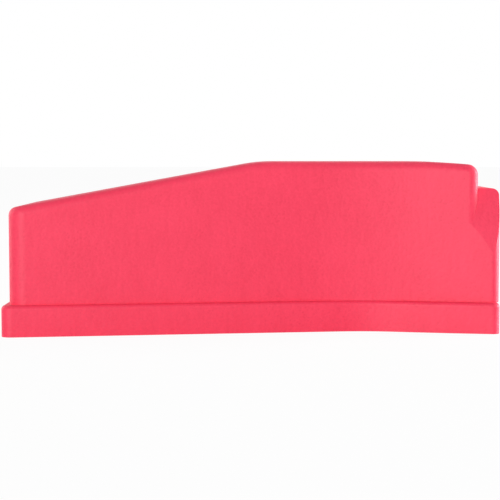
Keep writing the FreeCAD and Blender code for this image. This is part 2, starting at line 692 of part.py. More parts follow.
def make_tongue():
    """The steel tongue that runs between skin and ski."""
    body = new_body("TongueBody")
    middle = "(TongueInner + TongueOuter) / 2"
    corners = [("TongueFront - TongueNib", f"{middle} - 2"), ("TongueFront", "TongueInner"),
               ("TongueTail", "TongueInner"), ("TongueTail", "TongueOuter"), ("TongueFront", "TongueOuter"),
               ("TongueFront - TongueNib", f"{middle} + 2")]
    pad(body, outline(body, "TonguePlan", "XY_Plane", corners, "TongueZ"), "TongueThick")
    fillet(body, "TongueRounds", "TongueRound", lambda edge: edge.BoundBox.ZLength > 0.5)
    tools = [flat_screw_seat(f"TongueSeat{i}", -Z_AXIS, x, "TongueScrewY", "TongueTop", "TongueThick + 1")
             for i, x in enumerate(TONGUE_SCREWS)]
    half = "BladeThick / 2 + SlotClear"
    tools.append(box("TongueSlotCut", "BladeTipX - TongueSlot / 2", "BladeTipX + TongueSlot / 2",
                     f"BladeY - ({half})", f"BladeY + {half}", "TongueZ - 1", "TongueTop + 1"))
    node(cut("Tongue", body, tools), "tongue_plate")


def make_fence_strip():
    """The steel strip that bears on the ski's edge, and the pins that hold it."""
    strip = box("StripPlate", "-StripLength / 2", "StripLength / 2", "StripY - StripThick", "StripY",
                "StripZ - StripHeight / 2", "StripZ + StripHeight / 2")
    corners = rounded("StripRounded", strip, "StripHeight / 4",
                      lambda edge: edge.BoundBox.YLength > 0.5 and edge.BoundBox.XLength < 0.1)
    holes = [rod(f"StripHole{i}", PALM, "StripPinRadius", "StripPinLength", x, "StripY", "StripZ")
             for i, x in enumerate(STRIP_PINS)]
    node(cut("Strip", corners, holes), "fence_strip")
    pins = [rod(f"StripPin{i}", PALM, "StripPinRadius", "StripPinLength", x, "StripY", "StripZ")
            for i, x in enumerate(STRIP_PINS)]
    node(group("StripPins", pins), "fence_pins")


def make_shoe():
    """The glide shoe that the skin runs under."""
    plate = box("ShoePlate", "-ShoeLength / 2", "ShoeLength / 2", "ThroatInner + Seat", "CoverY - Seat",
                "ThroatTop", "FloorBottom")
    tools = [blade_slot("ShoeSlot", "ThroatTop - 1", "FloorBottom + 1")]
    tools += [flat_screw_seat(f"ShoeSeat{i}", Z_AXIS, x, y, "ThroatTop", "ShoeThick + 1")
              for i, (x, y) in enumerate(SHOE_SCREWS)]
    node(cut("Shoe", plate, tools), "glide_shoe")


def make_guide_rods():
    """The two rods, the right one with a notch at each end of the travel."""
    rods = []
    for i, x in enumerate(ROD_PLACES):
        made = rod(f"GuideRod{i}", Z_AXIS, "RodRadius", "RodTop - FloorBottom", x, "RodY", "FloorBottom")
        if i == 1:
            notches = []
            for name, z in (("Up", "DetentZ"), ("Down", "DetentZ - BladeTravel")):
                notch = doc.addObject("Part::Torus", "Notch" + name)
                bind(notch, "Radius1", "RodRadius - NotchDepth + BallRadius")
                bind(notch, "Radius2", "BallRadius")
                place(notch, x, "RodY", z)
                notches.append(notch)
            made = cut("NotchedRod", made, notches)
        rods.append(made)
    node(group("GuideRods", rods), "guide_rods")


def make_carriage():
    """The carriage that the blade lies on."""
    block = box("CarriageBlock", "WorksX - CarriageWidth / 2", "WorksX + CarriageWidth / 2", "CarriageFrontY",
                "BladeFaceY", "CarriageBottom", "CarriageTop")
    eased = rounded("CarriageEased", block, "SoftGap", lambda edge: edge.BoundBox.XLength > 1)
    tools = [rod(f"CarriageBore{i}", Z_AXIS, "RodRadius + RunClear", "CarriageHeight + 2", x, "RodY",
                 "CarriageBottom - 1") for i, x in enumerate(ROD_PLACES)]
    tools.append(rod("CarriageThread", PALM, "ScrewRadius", "ThumbScrewLength", "WorksX",
                     "PadY + PadThick - HeadSink - HeadHeight", "ThumbZ"))
    tools.append(rod("DetentBore", Y_AXIS, "BallBore", "RodY - CarriageFrontY", "DetentX", "CarriageFrontY",
                     "DetentZ"))
    node(cut("Carriage", eased, tools), "blade_carriage")


def make_detent():
    """The ball, spring and screw that hold the slide at each end."""
    ball = doc.addObject("Part::Sphere", "DetentBall")
    bind(ball, "Radius", "BallRadius")
    place(ball, "DetentX", "BallY", "DetentZ")
    node(ball, "detent_ball")
    plug = rod("DetentPlug", Y_AXIS, "BallBore", "DetentScrewLength", "DetentX", "CarriageFrontY", "DetentZ")
    socket = hexagon("DetentSocket", Y_AXIS, "BallBore / 2", "DetentScrewLength / 2", "DetentX",
                     "CarriageFrontY", "DetentZ")
    node(cut("DetentScrew", plug, [socket]), "detent_screw")
    start = "CarriageFrontY + DetentScrewLength + SpringWire"
    coil = doc.addObject("Part::Helix", "DetentCoil")
    bind(coil, "Pitch", "SpringPitch")
    bind(coil, "Height", f"BallY - BallRadius * 0.7 - ({start})")
    bind(coil, "Radius", "SpringRadius")
    section = doc.addObject("Part::Circle", "DetentWire")
    bind(section, "Radius", "SpringWire")
    section.Placement = FreeCAD.Placement(V(0, 0, 0), FreeCAD.Rotation(X_AXIS, 90))
    bind(section, "Placement.Base.x", "SpringRadius")
    doc.recompute()
    wire = doc.addObject("Part::Sweep", "DetentSpring")
    wire.Sections = [section]
    wire.Spine = (coil, [f"Edge{i}" for i in range(1, len(coil.Shape.Edges) + 1)])
    wire.Solid = True
    wire.Frenet = True
    place(wire, "DetentX", start, "DetentZ", FreeCAD.Rotation(Z_AXIS, Y_AXIS))
    node(wire, "detent_spring")


def blade_body(name):
    """A blade in its own frame: its hole at the origin, its ground edge towards -X, its tip down."""
    body = new_body(name)
    rise = "BladeWidth * tan(BladeSlant)"
    corners = [("-BladeWidth / 2", "-BladeBelow"), ("BladeWidth / 2", f"-BladeBelow + {rise}"),
               ("BladeWidth / 2", "BladeAbove"), ("-BladeWidth / 2", f"BladeAbove - {rise}")]
    sketch = outline(body, name + "Side", "XZ_Plane", corners, "-BladeThick / 2")
    pad(body, sketch, "BladeThick")
    long = "BladeSpan + 2"
    for side in ("", "-"):
        face = f"{side}BladeThick / 2"
        out = f"{side}BladeThick"
        land = f"{side}BladeLand / 2"
        corners = [("-BladeWidth / 2", land), ("-BladeWidth / 2 + BladeEdge", face),
                   ("-BladeWidth / 2 + BladeEdge", out), ("-BladeWidth / 2 - 1", out),
                   ("-BladeWidth / 2 - 1", land)]
        grind = outline(body, name + ("Front" if side else "Back"), "XY_Plane", corners, "BladeAbove + 1")
        pocket(body, grind, long)
    hole = circle_sketch(body, name + "Hole", "XZ_Plane", "0", "0",
                         "ScrewRadius + ScrewHoleClear", "-BladeThick")
    pocket(body, hole, "BladeThick * 2", True)
    return body


def make_blades():
    """The blade on its carriage, and the spare blades in their tray."""
    blade = blade_body("Blade")
    place(blade, "WorksX", "BladeY", "ThumbZ", FreeCAD.Rotation(-Y_AXIS, 30))
    bind(blade, "Placement.Rotation.Angle", "BladeTilt")
    node(blade, "trim_blade")
    spares = []
    for i in range(3):
        spare = blade_body(f"Spare{i}")
        y = f"TrayY + TrayWall + SpareGap + BladeThick / 2 + SparePitch * {i}"
        z = "DoorBottom + SpareGap + BladeWidth / 2"
        place(spare, "DoorMiddle + (BladeBelow - BladeAbove) / 2", y, z, FreeCAD.Rotation(Y_AXIS, 90))
        spares.append(spare)
    node(group("Spares", spares), "spare_blades")


def make_clamp():
    """The plate that clamps the blade."""
    plate = box("ClampPlate", "WorksX - ClampWidth / 2", "WorksX + ClampWidth / 2", "ClampY", "NeckY",
                "ThumbZ - ClampHeight / 2", "ThumbZ + ClampHeight / 2")
    corners = rounded("ClampRounded", plate, "ClampThick", lambda edge: 0.5 < edge.BoundBox.YLength)
    hole = rod("ClampHole", Y_AXIS, "ScrewRadius + ScrewHoleClear", "ClampThick + 2", "WorksX", "ClampY - 1",
               "ThumbZ")
    node(cut("Clamp", corners, [hole]), "blade_clamp")


def make_thumb_slide():
    """The thumb slide: a ribbed pad outside the cover on a neck through its slot, and its screw."""
    plate = box("PadPlate", "WorksX - PadWidth / 2", "WorksX + PadWidth / 2", "PadY", "PadY + PadThick",
                "ThumbZ - PadHeight / 2", "ThumbZ + PadHeight / 2")
    corners = rounded("PadRounded", plate, "PadRound",
                      lambda edge: edge.BoundBox.YLength > 1 and edge.BoundBox.XLength < 0.1)
    outer_face = value("PadY + PadThick")
    eased = rounded("PadEased", corners, "PadRound / 2", lambda edge: edge.BoundBox.YMin > outer_face - 0.01)
    neck = box("PadNeck", "WorksX - NeckWidth / 2", "WorksX + NeckWidth / 2", "NeckY", "PadY + PadThick / 2",
               "ThumbZ - NeckWidth / 2", "ThumbZ + NeckWidth / 2")
    tools = []
    for i in (-2, -1, 1, 2):
        tools.append(rod(f"PadGroove{i + 2}", X_AXIS, "PadGroove", "PadWidth", "WorksX - PadWidth / 2",
                         "PadY + PadThick", f"ThumbZ + PadRibPitch * {i}"))
    tools.append(rod("PadCounterbore", PALM, "HeadRadius + ScrewHoleClear", "HeadSink + HeadHeight", "WorksX",
                     "PadY + PadThick", "ThumbZ"))
    tools.append(rod("PadHole", PALM, "ScrewRadius + ScrewHoleClear", "ThumbScrewLength", "WorksX",
                     "PadY + PadThick", "ThumbZ"))
    node(cut("ThumbSlide", fuse("ThumbSolid", [eased, neck]), tools), "thumb_slide")
    screw = socket_screw("ThumbScrew", PALM, "WorksX", "PadY + PadThick - HeadSink", "ThumbZ",
                         "ThumbScrewLength")
    node(screw, "thumb_screw")


def make_cover():
    """The back cover, with the thumb slot and the opening for the door."""
    body = new_body("CoverBody")
    sketch = outline(body, "CoverSide", "XZ_Plane", side_view("0", "ThroatTop"), "-CoverY")
    pad(body, sketch, "CoverThick", True)
    roof_rounds(body)
    fillet(body, "CoverNoseRound", "TopRound", across_at("WallNoseX", "NoseHeight"))
    back = value("BackY")
    low = value("ThroatTop")

    def on_rim(edge):
        return edge.BoundBox.YMin > back - 0.01 and edge.BoundBox.ZMax > low + 0.5

    fillet(body, "CoverRim", "CoverRound", on_rim)
    side = "NeckWidth / 2 + SoftGap"
    tools = [box("ThumbSlot", f"WorksX - ({side})", f"WorksX + ({side})", "CoverY - 1", "BackY + 1",
                 f"ThumbZ - BladeTravel - ({side})", f"ThumbZ + {side}")]
    tools.append(box("DoorOpening", "DoorLeft", "DoorLeft + DoorWidth", "CoverY - 1", "BackY + 1",
                     "DoorBottom", "DoorBottom + DoorHeight"))
    tools.append(hinge_pin("HingeBore"))
    for i, (x, z) in enumerate(COVER_SCREWS):
        tools.append(rod(f"CoverCounterbore{i}", PALM, "HeadRadius + ScrewHoleClear", "HeadSink + HeadHeight",
                         x, "BackY", z))
        tools.append(rod(f"CoverHole{i}", PALM, "ScrewRadius + ScrewHoleClear", "CoverThick + 1",
                         x, "BackY", z))
    node(cut("Cover", body, tools), "back_cover")


def hinge_pin(name):
    """The door's pin, which is also the hole that it sits in."""
    return rod(name, X_AXIS, "HingePinRadius", "DoorWidth + 2 * HingePinReach", "DoorLeft - HingePinReach",
               "HingeY", "HingeZ")


def make_door():
    """The door over the spare blades, hinged along its lower edge, and the tray behind it."""
    left, right = "DoorLeft + DoorGap", "DoorLeft + DoorWidth - DoorGap"
    top = "DoorBottom + DoorHeight - DoorGap"
    plate = box("DoorPlate", left, right, "BackY - DoorThick", "BackY", "HingeZ", top)
    knuckle = rod("DoorKnuckle", X_AXIS, "KnuckleRadius", "DoorWidth - 2 * DoorGap", left, "HingeY", "HingeZ")
    tools = [rod("DoorBore", X_AXIS, "HingePinRadius + RunClear", "DoorWidth + 2", "DoorLeft - 1", "HingeY",
                 "HingeZ")]
    tools.append(rod("FingerNotch", PALM, "DoorNotchRadius", "DoorThick / 2", "DoorMiddle", "BackY",
                     f"{top} + DoorNotchRadius - DoorNotchDepth"))
    node(cut("Door", fuse("DoorSolid", [plate, knuckle]), tools), "blade_door")
    node(hinge_pin("DoorPin"), "door_pin")
    outer = box("TrayOuter", "DoorLeft - TrayWall", "DoorLeft + DoorWidth + TrayWall", "TrayY", "CoverY",
                "DoorBottom - TrayWall", "DoorBottom + DoorHeight + TrayWall")
    inner = box("TrayInner", "DoorLeft", "DoorLeft + DoorWidth", "TrayY + TrayWall", "CoverY + 1",
                "DoorBottom", "DoorBottom + DoorHeight")
    node(cut("Tray", outer, [inner]), "blade_tray")


def write_parts():
    """Check every object, then write one file for each sub-part."""
    doc.recompute()
    for thing in doc.Objects:
        if "Invalid" in thing.State or "Error" in thing.State:
            raise RuntimeError(f"{thing.Name} is {thing.State}")
    os.makedirs("parts", exist_ok=True)
    for thing in NODES:
        shape = thing.Shape
        if shape.isNull() or not shape.isValid() or not shape.Solids:
            raise RuntimeError(f"{thing.Label} has no valid shape")
        shape.exportStep(os.path.join("parts", thing.Label + ".step"))
        print(f"{thing.Label}: {len(shape.Solids)} solid(s), {shape.Volume:.1f} mm3")


make_base()
make_housing()
make_inserts()
make_screws()
make_tongue()
make_fence_strip()
make_shoe()
make_guide_rods()
make_carriage()
make_detent()
make_blades()
make_clamp()
make_thumb_slide()
make_cover()
make_door()
write_parts()
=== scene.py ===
"""Looks, stage and light for a palm-held trimming cutter for climbing skins.

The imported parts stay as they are, and each gets the finish of its real material. The detent spring's
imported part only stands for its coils, so they are wound here as a surface.
"""

import math

import bmesh
import bpy
import numpy as np
from bpy.props import FloatProperty, FloatVectorProperty, IntProperty, PointerProperty
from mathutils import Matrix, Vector


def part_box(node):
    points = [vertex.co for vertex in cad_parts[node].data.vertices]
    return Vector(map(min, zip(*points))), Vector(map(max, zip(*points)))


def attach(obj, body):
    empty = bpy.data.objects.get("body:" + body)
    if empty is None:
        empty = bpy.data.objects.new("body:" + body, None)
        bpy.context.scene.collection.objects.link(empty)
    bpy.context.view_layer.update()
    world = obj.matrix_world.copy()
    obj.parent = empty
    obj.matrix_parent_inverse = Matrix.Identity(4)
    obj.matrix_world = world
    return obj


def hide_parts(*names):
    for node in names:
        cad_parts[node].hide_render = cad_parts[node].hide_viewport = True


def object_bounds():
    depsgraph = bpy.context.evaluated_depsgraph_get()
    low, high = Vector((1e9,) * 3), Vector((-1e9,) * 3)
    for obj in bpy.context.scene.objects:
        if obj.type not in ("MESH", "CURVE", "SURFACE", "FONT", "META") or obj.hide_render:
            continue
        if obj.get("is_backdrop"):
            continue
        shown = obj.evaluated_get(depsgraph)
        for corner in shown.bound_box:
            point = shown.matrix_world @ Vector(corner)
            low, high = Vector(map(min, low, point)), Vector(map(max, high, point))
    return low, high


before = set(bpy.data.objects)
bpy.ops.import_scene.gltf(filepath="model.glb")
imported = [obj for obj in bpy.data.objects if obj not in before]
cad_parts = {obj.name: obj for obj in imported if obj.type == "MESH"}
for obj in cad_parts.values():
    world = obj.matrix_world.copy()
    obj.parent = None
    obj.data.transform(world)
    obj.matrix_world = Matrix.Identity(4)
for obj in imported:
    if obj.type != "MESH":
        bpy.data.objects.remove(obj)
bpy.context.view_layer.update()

bl_info = {
    "name": "Skin trimming cutter",
    "version": (1, 0, 0),
    "blender": (4, 5, 0),
    "location": "View3D > Sidebar > Cutter",
    "description": "Finishes the packed trimming cutter and sets it on its stage",
    "category": "Object",
}

MM = 0.001
# Corners that are nearer to each other than this are one corner.
SAME_PLACE = 1e-7
# Sizes of the moulded grain's other features, as multiples of the grain.
PIT, STREAK, TONE_CHANGE, SPECK_PATCH = 1.7, 2.0, 20, 16
# How many times longer than wide the moulded streaks and the brushed scratches are.
STREAK_LENGTH, SCRATCH_LENGTH = 5, 60
# A stretch so long that the axis no longer counts in a distance.
LEFT_OUT = 1e6
# Sizes of the scratches, of the dull clouds on sheet and of those on turned metal.
SCRATCH, SHEET_CLOUD, TURNED_CLOUD = 0.16 * MM, 6 * MM, 0.8 * MM
# Height of the rings on turned metal.
RING_HEIGHT = 0.003 * MM
# Points along each coil of the spring, and how much closer its coils lie towards the ends.
COIL_POINTS, CLOSING = 24, 0.6
# Half the floor's width and its distance below the sole.
FLOOR_HALF, FLOOR_GAP = 3.0, 0.05 * MM
# Each lamp's place, and its width and height, in metres.
LAMPS = {"key": ((-0.54, -1.40, 0.22), (0.4, 0.3)), "side": ((0.60, 0.12, 0.10), (0.25, 0.3)),
         "rim": ((-0.45, 0.30, 0.10), (0.2, 0.3))}


def shade(name, description, default):
    """A colour that the user can change, in linear values."""
    return FloatVectorProperty(name=name, description=description, default=default, size=3,
                               min=0, max=1, subtype="COLOR")


def length(name, description, default):
    """A length that the user can change, in metres."""
    return FloatProperty(name=name, description=description, default=default, min=0, precision=5,
                         subtype="DISTANCE", unit="LENGTH")


def share(name, description, default):
    """A plain number from 0 to 1 that the user can change."""
    return FloatProperty(name=name, description=description, default=default, min=0, max=1,
                         subtype="FACTOR")


def watts(name, description, default):
    """A lamp's power that the user can change, in watts."""
    return FloatProperty(name=name, description=description, default=default, min=0, unit="POWER")


class CutterPlastics(bpy.types.PropertyGroup):
    """Colours and grain of the moulded parts."""

    coral: shade("Coral", "Colour of the moulded shells", (0.97, 0.044, 0.112))
    coral_deep: shade("Deep coral", "Colour of the grain's darker flecks", (0.88, 0.031, 0.087))
    black: shade("Black", "Colour of the sliding parts", (0.016, 0.016, 0.018))
    roughness: share("Roughness", "How dull the shells are", 0.55)
    grain: length("Grain", "Size of the spark-eroded grain", 0.5 * MM)
    grain_depth: length("Grain depth", "Height of the grain", 0.07 * MM)


class CutterMetals(bpy.types.PropertyGroup):
    """Colours of the metal parts."""

    sheet: shade("Stainless sheet", "Colour of the brushed plates", (0.42, 0.42, 0.43))
    ground: shade("Ground steel", "Colour of rods, pins and ball", (0.55, 0.55, 0.57))
    blade: shade("Blade steel", "Colour of the blades' flats", (0.36, 0.37, 0.39))
    screw: shade("Blackened steel", "Colour of the screws", (0.085, 0.085, 0.092))
    brass: shade("Brass", "Colour of the threaded inserts", (0.60, 0.40, 0.13))


class CutterSpring(bpy.types.PropertyGroup):
    """Sizes of the detent's coil spring."""

    wire: length("Wire", "Diameter of the spring's wire", 0.22 * MM)
    turns: IntProperty(name="Turns", description="Coils from end to end", default=7, min=3,
                       max=30)


class CutterStage(bpy.types.PropertyGroup):
    """Camera, floor and light."""

    lens: FloatProperty(name="Lens", description="Focal length", default=97.5, min=10,
                        subtype="DISTANCE_CAMERA")
    waist: length("Waist", "From the front of the base back to the shell's waist", 11.1 * MM)
    distance: length("Distance", "From the shell's waist to the camera", 300 * MM)
    aside: length("Aside", "Camera's place towards the nose from the middle", 0.55 * MM)
    height: length("Height", "Camera above the sole", 40.1 * MM)
    pitch: FloatProperty(name="Pitch", description="Camera's tilt below the horizon",
                         default=math.radians(4.2), subtype="ANGLE", unit="ROTATION")
    floor: shade("Floor", "Colour of the floor", (0.93, 0.93, 0.93))
    glow: share("Floor glow", "How much of the floor is seen as white whatever its shadows", 0.95)
    ambient: FloatProperty(name="Ambient", description="Light from all round", default=0.40, min=0)
    key: watts("Key", "Front soft box", 11.2)
    side: watts("Side", "Soft box beyond the tail", 6.0)
    rim: watts("Rim", "Soft box behind the nose", 0.8)


class Wire:
    """One output of a node, so that sums on it read as sums. Each sum adds its Math node."""

    def __init__(self, finish, socket):
        self.finish = finish
        self.socket = socket

    def sum(self, operation, *values, clamp=False):
        inputs = dict(enumerate(values))
        return self.finish.node("Math", {"operation": operation, "use_clamp": clamp}, inputs)

    def __add__(self, other):
        return self.sum("ADD", self, other)

    __radd__ = __add__

    def __sub__(self, other):
        return self.sum("SUBTRACT", self, other)

    def __rsub__(self, other):
        return self.sum("SUBTRACT", other, self)

    def __mul__(self, other):
        return self.sum("MULTIPLY", self, other)

    __rmul__ = __mul__

    def least(self, other):
        return self.sum("MINIMUM", self, other)

    def most(self, other):
        return self.sum("MAXIMUM", self, other)

    def wave(self):
        return self.sum("SINE", self)

    def above(self, low, high):
        """0 at low, 1 at high, a straight run between them and the same value beyond each. Either of
        the two may be the greater."""
        return self.sum("MULTIPLY", self - low, 1 / (high - low), clamp=True)


class Finish:
    """A material, or the world, being wired. node() is the only way that a node is made."""

    def __init__(self, name, sky=False):
        self.sky = sky
        self.owner = (bpy.data.worlds if sky else bpy.data.materials).new(name)
        self.owner.use_nodes = True
        self.tree = self.owner.node_tree
        self.tree.nodes.clear()

    def node(self, kind, settings=None, inputs=None, output=0):
        """Add a node, set its settings first and then its inputs, and give back one of its outputs."""
        made = self.tree.nodes.new("ShaderNode" + kind)
        for name, value in (settings or {}).items():
            setattr(made, name, value)
        for place, value in (inputs or {}).items():
            if isinstance(value, Wire):
                self.tree.links.new(value.socket, made.inputs[place])
            else:
                made.inputs[place].default_value = value
        return None if output is None else Wire(self, made.outputs[output])

    def place(self, stretch=(1, 1, 1), centre=(0, 0, 0)):
        """The surface's own coordinates in metres, stretched about a centre."""
        coordinates = self.node("TexCoord", output="Object")
        return self.node("Mapping", {"vector_type": "TEXTURE"},
                         {"Vector": coordinates, "Location": centre, "Scale": stretch})

    def noise(self, size, detail=2.0, rough=0.5, **place):
        """Cloudy noise whose lumps are about that size, from 0 to 1."""
        return self.node("TexNoise", {"noise_dimensions": "3D"},
                         {"Vector": self.place(**place), "Scale": 1 / size, "Detail": detail,
                          "Roughness": rough})

    def cells(self, size, **place):
        """Distance to the nearest of scattered points that far apart, from 0 to about 1."""
        return self.node("TexVoronoi", {"feature": "F1"},
                         {"Vector": self.place(**place), "Scale": 1 / size})

    def mix(self, factor, first, second):
        """One colour where the factor is 0 and the other where it is 1."""
        return self.node("Mix", {"data_type": "RGBA"}, {0: factor, 6: (*first, 1), 7: (*second, 1)},
                         output=2)

    def bump(self, height, depth):
        """The surface's direction over heights from 0 to 1 that stand for a depth in metres."""
        return self.node("Bump", None, {"Height": height, "Distance": depth, "Strength": 1.0})

    def close(self, **inputs):
        """Finish with one principled shader. Sockets are named with _ for a space."""
        named = {}
        for name, value in inputs.items():
            flat = isinstance(value, (tuple, list)) and len(value) == 3
            named[name.replace("_", " ")] = (*value, 1) if flat else value
        self.node_out(self.node("BsdfPrincipled", None, named))
        return self.owner

    def node_out(self, shader):
        """Take a shader to the output."""
        end = "OutputWorld" if self.sky else "OutputMaterial"
        self.node(end, None, {"Surface": shader}, output=None)


def toned(colour, factor):
    """A colour made darker or lighter, with nothing above full."""
    return tuple(min(1.0, factor * c) for c in colour)


def moulded(name, colour, deep, roughness, grain, depth):
    """Moulded plastic: a fine spark-eroded grain with faint upright streaks, slow changes of tone and
    patches of dark specks."""
    finish = Finish(name)
    fine = finish.noise(grain, detail=3.0, rough=0.6)
    pits = finish.cells(grain * PIT)
    streaks = finish.noise(grain * STREAK, detail=2.0, stretch=(1, 1, STREAK_LENGTH))
    slow = finish.noise(grain * TONE_CHANGE, detail=2.0)
    patches = finish.noise(grain * SPECK_PATCH, detail=2.0).above(0.45, 0.62)
    relief = fine * 0.35 + pits * 0.5 + streaks * 0.15
    specks = pits.above(0.35, 0.1) * patches
    tone = (fine * 0.5 + streaks * 0.22 + slow * 0.28).above(0.34, 0.66) - specks * 0.7
    return finish.close(Base_Color=finish.mix(tone, deep, colour),
                        Roughness=roughness - 0.04 + fine * 0.08,
                        Normal=finish.bump(relief, depth), IOR=1.5)


def brushed(name, colour, along, roughness=0.32, depth=0.004 * MM):
    """Sheet metal brushed along one axis: scratches long that way and hair-thin across."""
    stretch = [1, 1, 1]
    stretch[along] = SCRATCH_LENGTH
    finish = Finish(name)
    hairs = finish.noise(SCRATCH, detail=2.0, rough=0.7, stretch=tuple(stretch))
    clouds = finish.noise(SHEET_CLOUD, detail=2.0)
    return finish.close(Base_Color=finish.mix(hairs.above(0.3, 0.7), toned(colour, 0.8), colour),
                        Metallic=1.0,
                        Roughness=roughness - 0.1 + hairs * 0.12 + clouds * 0.08,
                        Normal=finish.bump(hairs, depth))


def solids(node):
    """Lowest and highest corners of a node's separate solids. Corners at one place count as one, and
    each triangle hands its lowest label on until none changes."""
    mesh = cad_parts[node].data
    places = np.empty(len(mesh.vertices) * 3)
    mesh.vertices.foreach_get("co", places)
    places = places.reshape(-1, 3)
    mesh.calc_loop_triangles()
    triangles = np.empty(len(mesh.loop_triangles) * 3, int)
    mesh.loop_triangles.foreach_get("vertices", triangles)
    rounded = np.round(places / SAME_PLACE).astype(int)
    same = np.unique(rounded, axis=0, return_inverse=True)[1].ravel()
    triangles = same[triangles.reshape(-1, 3)]
    labels = np.arange(same.max() + 1)
    while True:
        lowest = labels[triangles].min(1)
        before = labels.copy()
        np.minimum.at(labels, triangles.ravel(), np.repeat(lowest, 3))
        if (labels == before).all():
            break
    owner = labels[same]
    shares = [places[owner == label] for label in np.unique(owner)]
    return [(one.min(0), one.max(0)) for one in shares]


def turned(name, colour, nodes, roughness=0.35, pitch=0.09 * MM):
    """Turned metal: faint rings about the nearest solid's axis, which runs its longest way."""
    finish = Finish(name)
    reach = None
    for node in nodes:
        for low, high in solids(node):
            axis = int(np.argmax(high - low))
            flat = [1.0, 1.0, 1.0]
            flat[axis] = LEFT_OUT
            offset = finish.place(stretch=tuple(flat), centre=tuple((low + high) / 2))
            away = finish.node("VectorMath", {"operation": "LENGTH"}, {0: offset}, output="Value")
            reach = away if reach is None else reach.least(away)
    rings = (reach * (2 * math.pi / pitch)).wave() * 0.5 + 0.5
    clouds = finish.noise(TURNED_CLOUD, detail=3.0)
    wear = (clouds * 0.7 + rings * 0.3).above(0.35, 0.9)
    return finish.close(Base_Color=finish.mix(wear, colour, toned(colour, 1.5)), Metallic=1.0,
                        Roughness=roughness + clouds * 0.12 - rings * 0.04,
                        Normal=finish.bump(rings, RING_HEIGHT))


def dress(material, *nodes):
    """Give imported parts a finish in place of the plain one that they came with."""
    for node in nodes:
        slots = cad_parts[node].data.materials
        slots.clear()
        slots.append(material)


def quads(rows, columns):
    """Corner numbers of a grid's squares whose columns join up into rings."""
    row, column = np.meshgrid(np.arange(rows - 1), np.arange(columns), indexing="ij")
    after = (column + 1) % columns
    corners = [row * columns + column, (row + 1) * columns + column,
               (row + 1) * columns + after, row * columns + after]
    return np.stack(corners, -1).reshape(-1, 4)


def add_piece(name, points, body, material, replaced):
    """Make a piece from rings of points whose first and last rings have shrunk to their middles.
    Corners that meet are merged and the faces turned outwards."""
    rows, columns = points.shape[:2]
    mesh = bpy.data.meshes.new(name)
    mesh.from_pydata(points.reshape(-1, 3).tolist(), [], quads(rows, columns).tolist())
    solid = bmesh.new()
    solid.from_mesh(mesh)
    bmesh.ops.remove_doubles(solid, verts=solid.verts, dist=SAME_PLACE)
    bmesh.ops.recalc_face_normals(solid, faces=solid.faces)
    solid.to_mesh(mesh)
    solid.free()
    mesh.shade_smooth()
    mesh.materials.append(material)
    made = bpy.data.objects.new(name, mesh)
    bpy.context.scene.collection.objects.link(made)
    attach(made, body)
    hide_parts(*replaced)
    return made


def swept_tube(path, radius, around=12):
    """A round tube along a path: at each point, a circle in the plane of two directions that lie
    square to the path. The end rings shrink to the path's ends, which closes it."""
    along = np.gradient(path, axis=0)
    along /= np.linalg.norm(along, axis=1, keepdims=True)
    side = np.cross(along, np.array([0.0, 1.0, 0.0]))
    side /= np.linalg.norm(side, axis=1, keepdims=True)
    up = np.cross(along, side)
    turn = np.linspace(0, 2 * np.pi, around, endpoint=False)[None, :, None]
    rings = path[:, None] + radius * (np.cos(turn) * side[:, None] + np.sin(turn) * up[:, None])
    first = np.repeat(path[None, :1], around, axis=1)
    last = np.repeat(path[None, -1:], around, axis=1)
    return np.concatenate([first, rings, last])


class CUTTER_OT_shells(bpy.types.Operator):
    """Finish the coral shells: base, housing, back cover and spare-blade door."""

    bl_idname = "cutter.shells"
    bl_label = "Moulded shells"

    def execute(self, context):
        look = context.scene.cutter_plastics
        coral = moulded("coral_shell", look.coral, look.coral_deep, look.roughness, look.grain,
                        look.grain_depth)
        dress(coral, "base_plate", "housing_shell", "back_cover", "blade_door")
        return {"FINISHED"}


class CUTTER_OT_slides(bpy.types.Operator):
    """Finish the black acetal parts: shoe, carriage, thumb slide and blade tray."""

    bl_idname = "cutter.slides"
    bl_label = "Black sliding parts"

    def execute(self, context):
        look = context.scene.cutter_plastics
        black = moulded("black_acetal", look.black, toned(look.black, 0.7), roughness=0.38,
                        grain=0.4 * MM, depth=0.008 * MM)
        dress(black, "glide_shoe", "blade_carriage", "thumb_slide", "blade_tray")
        return {"FINISHED"}


class CUTTER_OT_sheets(bpy.types.Operator):
    """Finish the stainless sheet parts: tongue plate, fence strip and blade clamp."""

    bl_idname = "cutter.sheets"
    bl_label = "Stainless sheet parts"

    def execute(self, context):
        look = context.scene.cutter_metals
        dress(brushed("stainless_lengthwise", look.sheet, along=0), "tongue_plate", "fence_strip")
        dress(brushed("stainless_upright", look.sheet, along=2), "blade_clamp")
        return {"FINISHED"}


class CUTTER_OT_blades(bpy.types.Operator):
    """Finish the blade at work and the spare ones: fine grinding across each blade."""

    bl_idname = "cutter.blades"
    bl_label = "Blades"

    def execute(self, context):
        look = context.scene.cutter_metals
        steel = brushed("blade_upright", look.blade, along=0, roughness=0.24)
        dress(steel, "trim_blade", "spare_blades")
        return {"FINISHED"}


class CUTTER_OT_screws(bpy.types.Operator):
    """Finish the blackened screws and the brass inserts that they run into."""

    bl_idname = "cutter.screws"
    bl_label = "Screws and inserts"

    def execute(self, context):
        look = context.scene.cutter_metals
        for node in ("base_screws", "cover_screws", "tongue_screws", "shoe_screws", "thumb_screw",
                     "detent_screw"):
            dress(turned(node + "_steel", look.screw, [node]), node)
        brass = turned("insert_brass", look.brass, ["threaded_inserts"], roughness=0.3)
        dress(brass, "threaded_inserts")
        return {"FINISHED"}


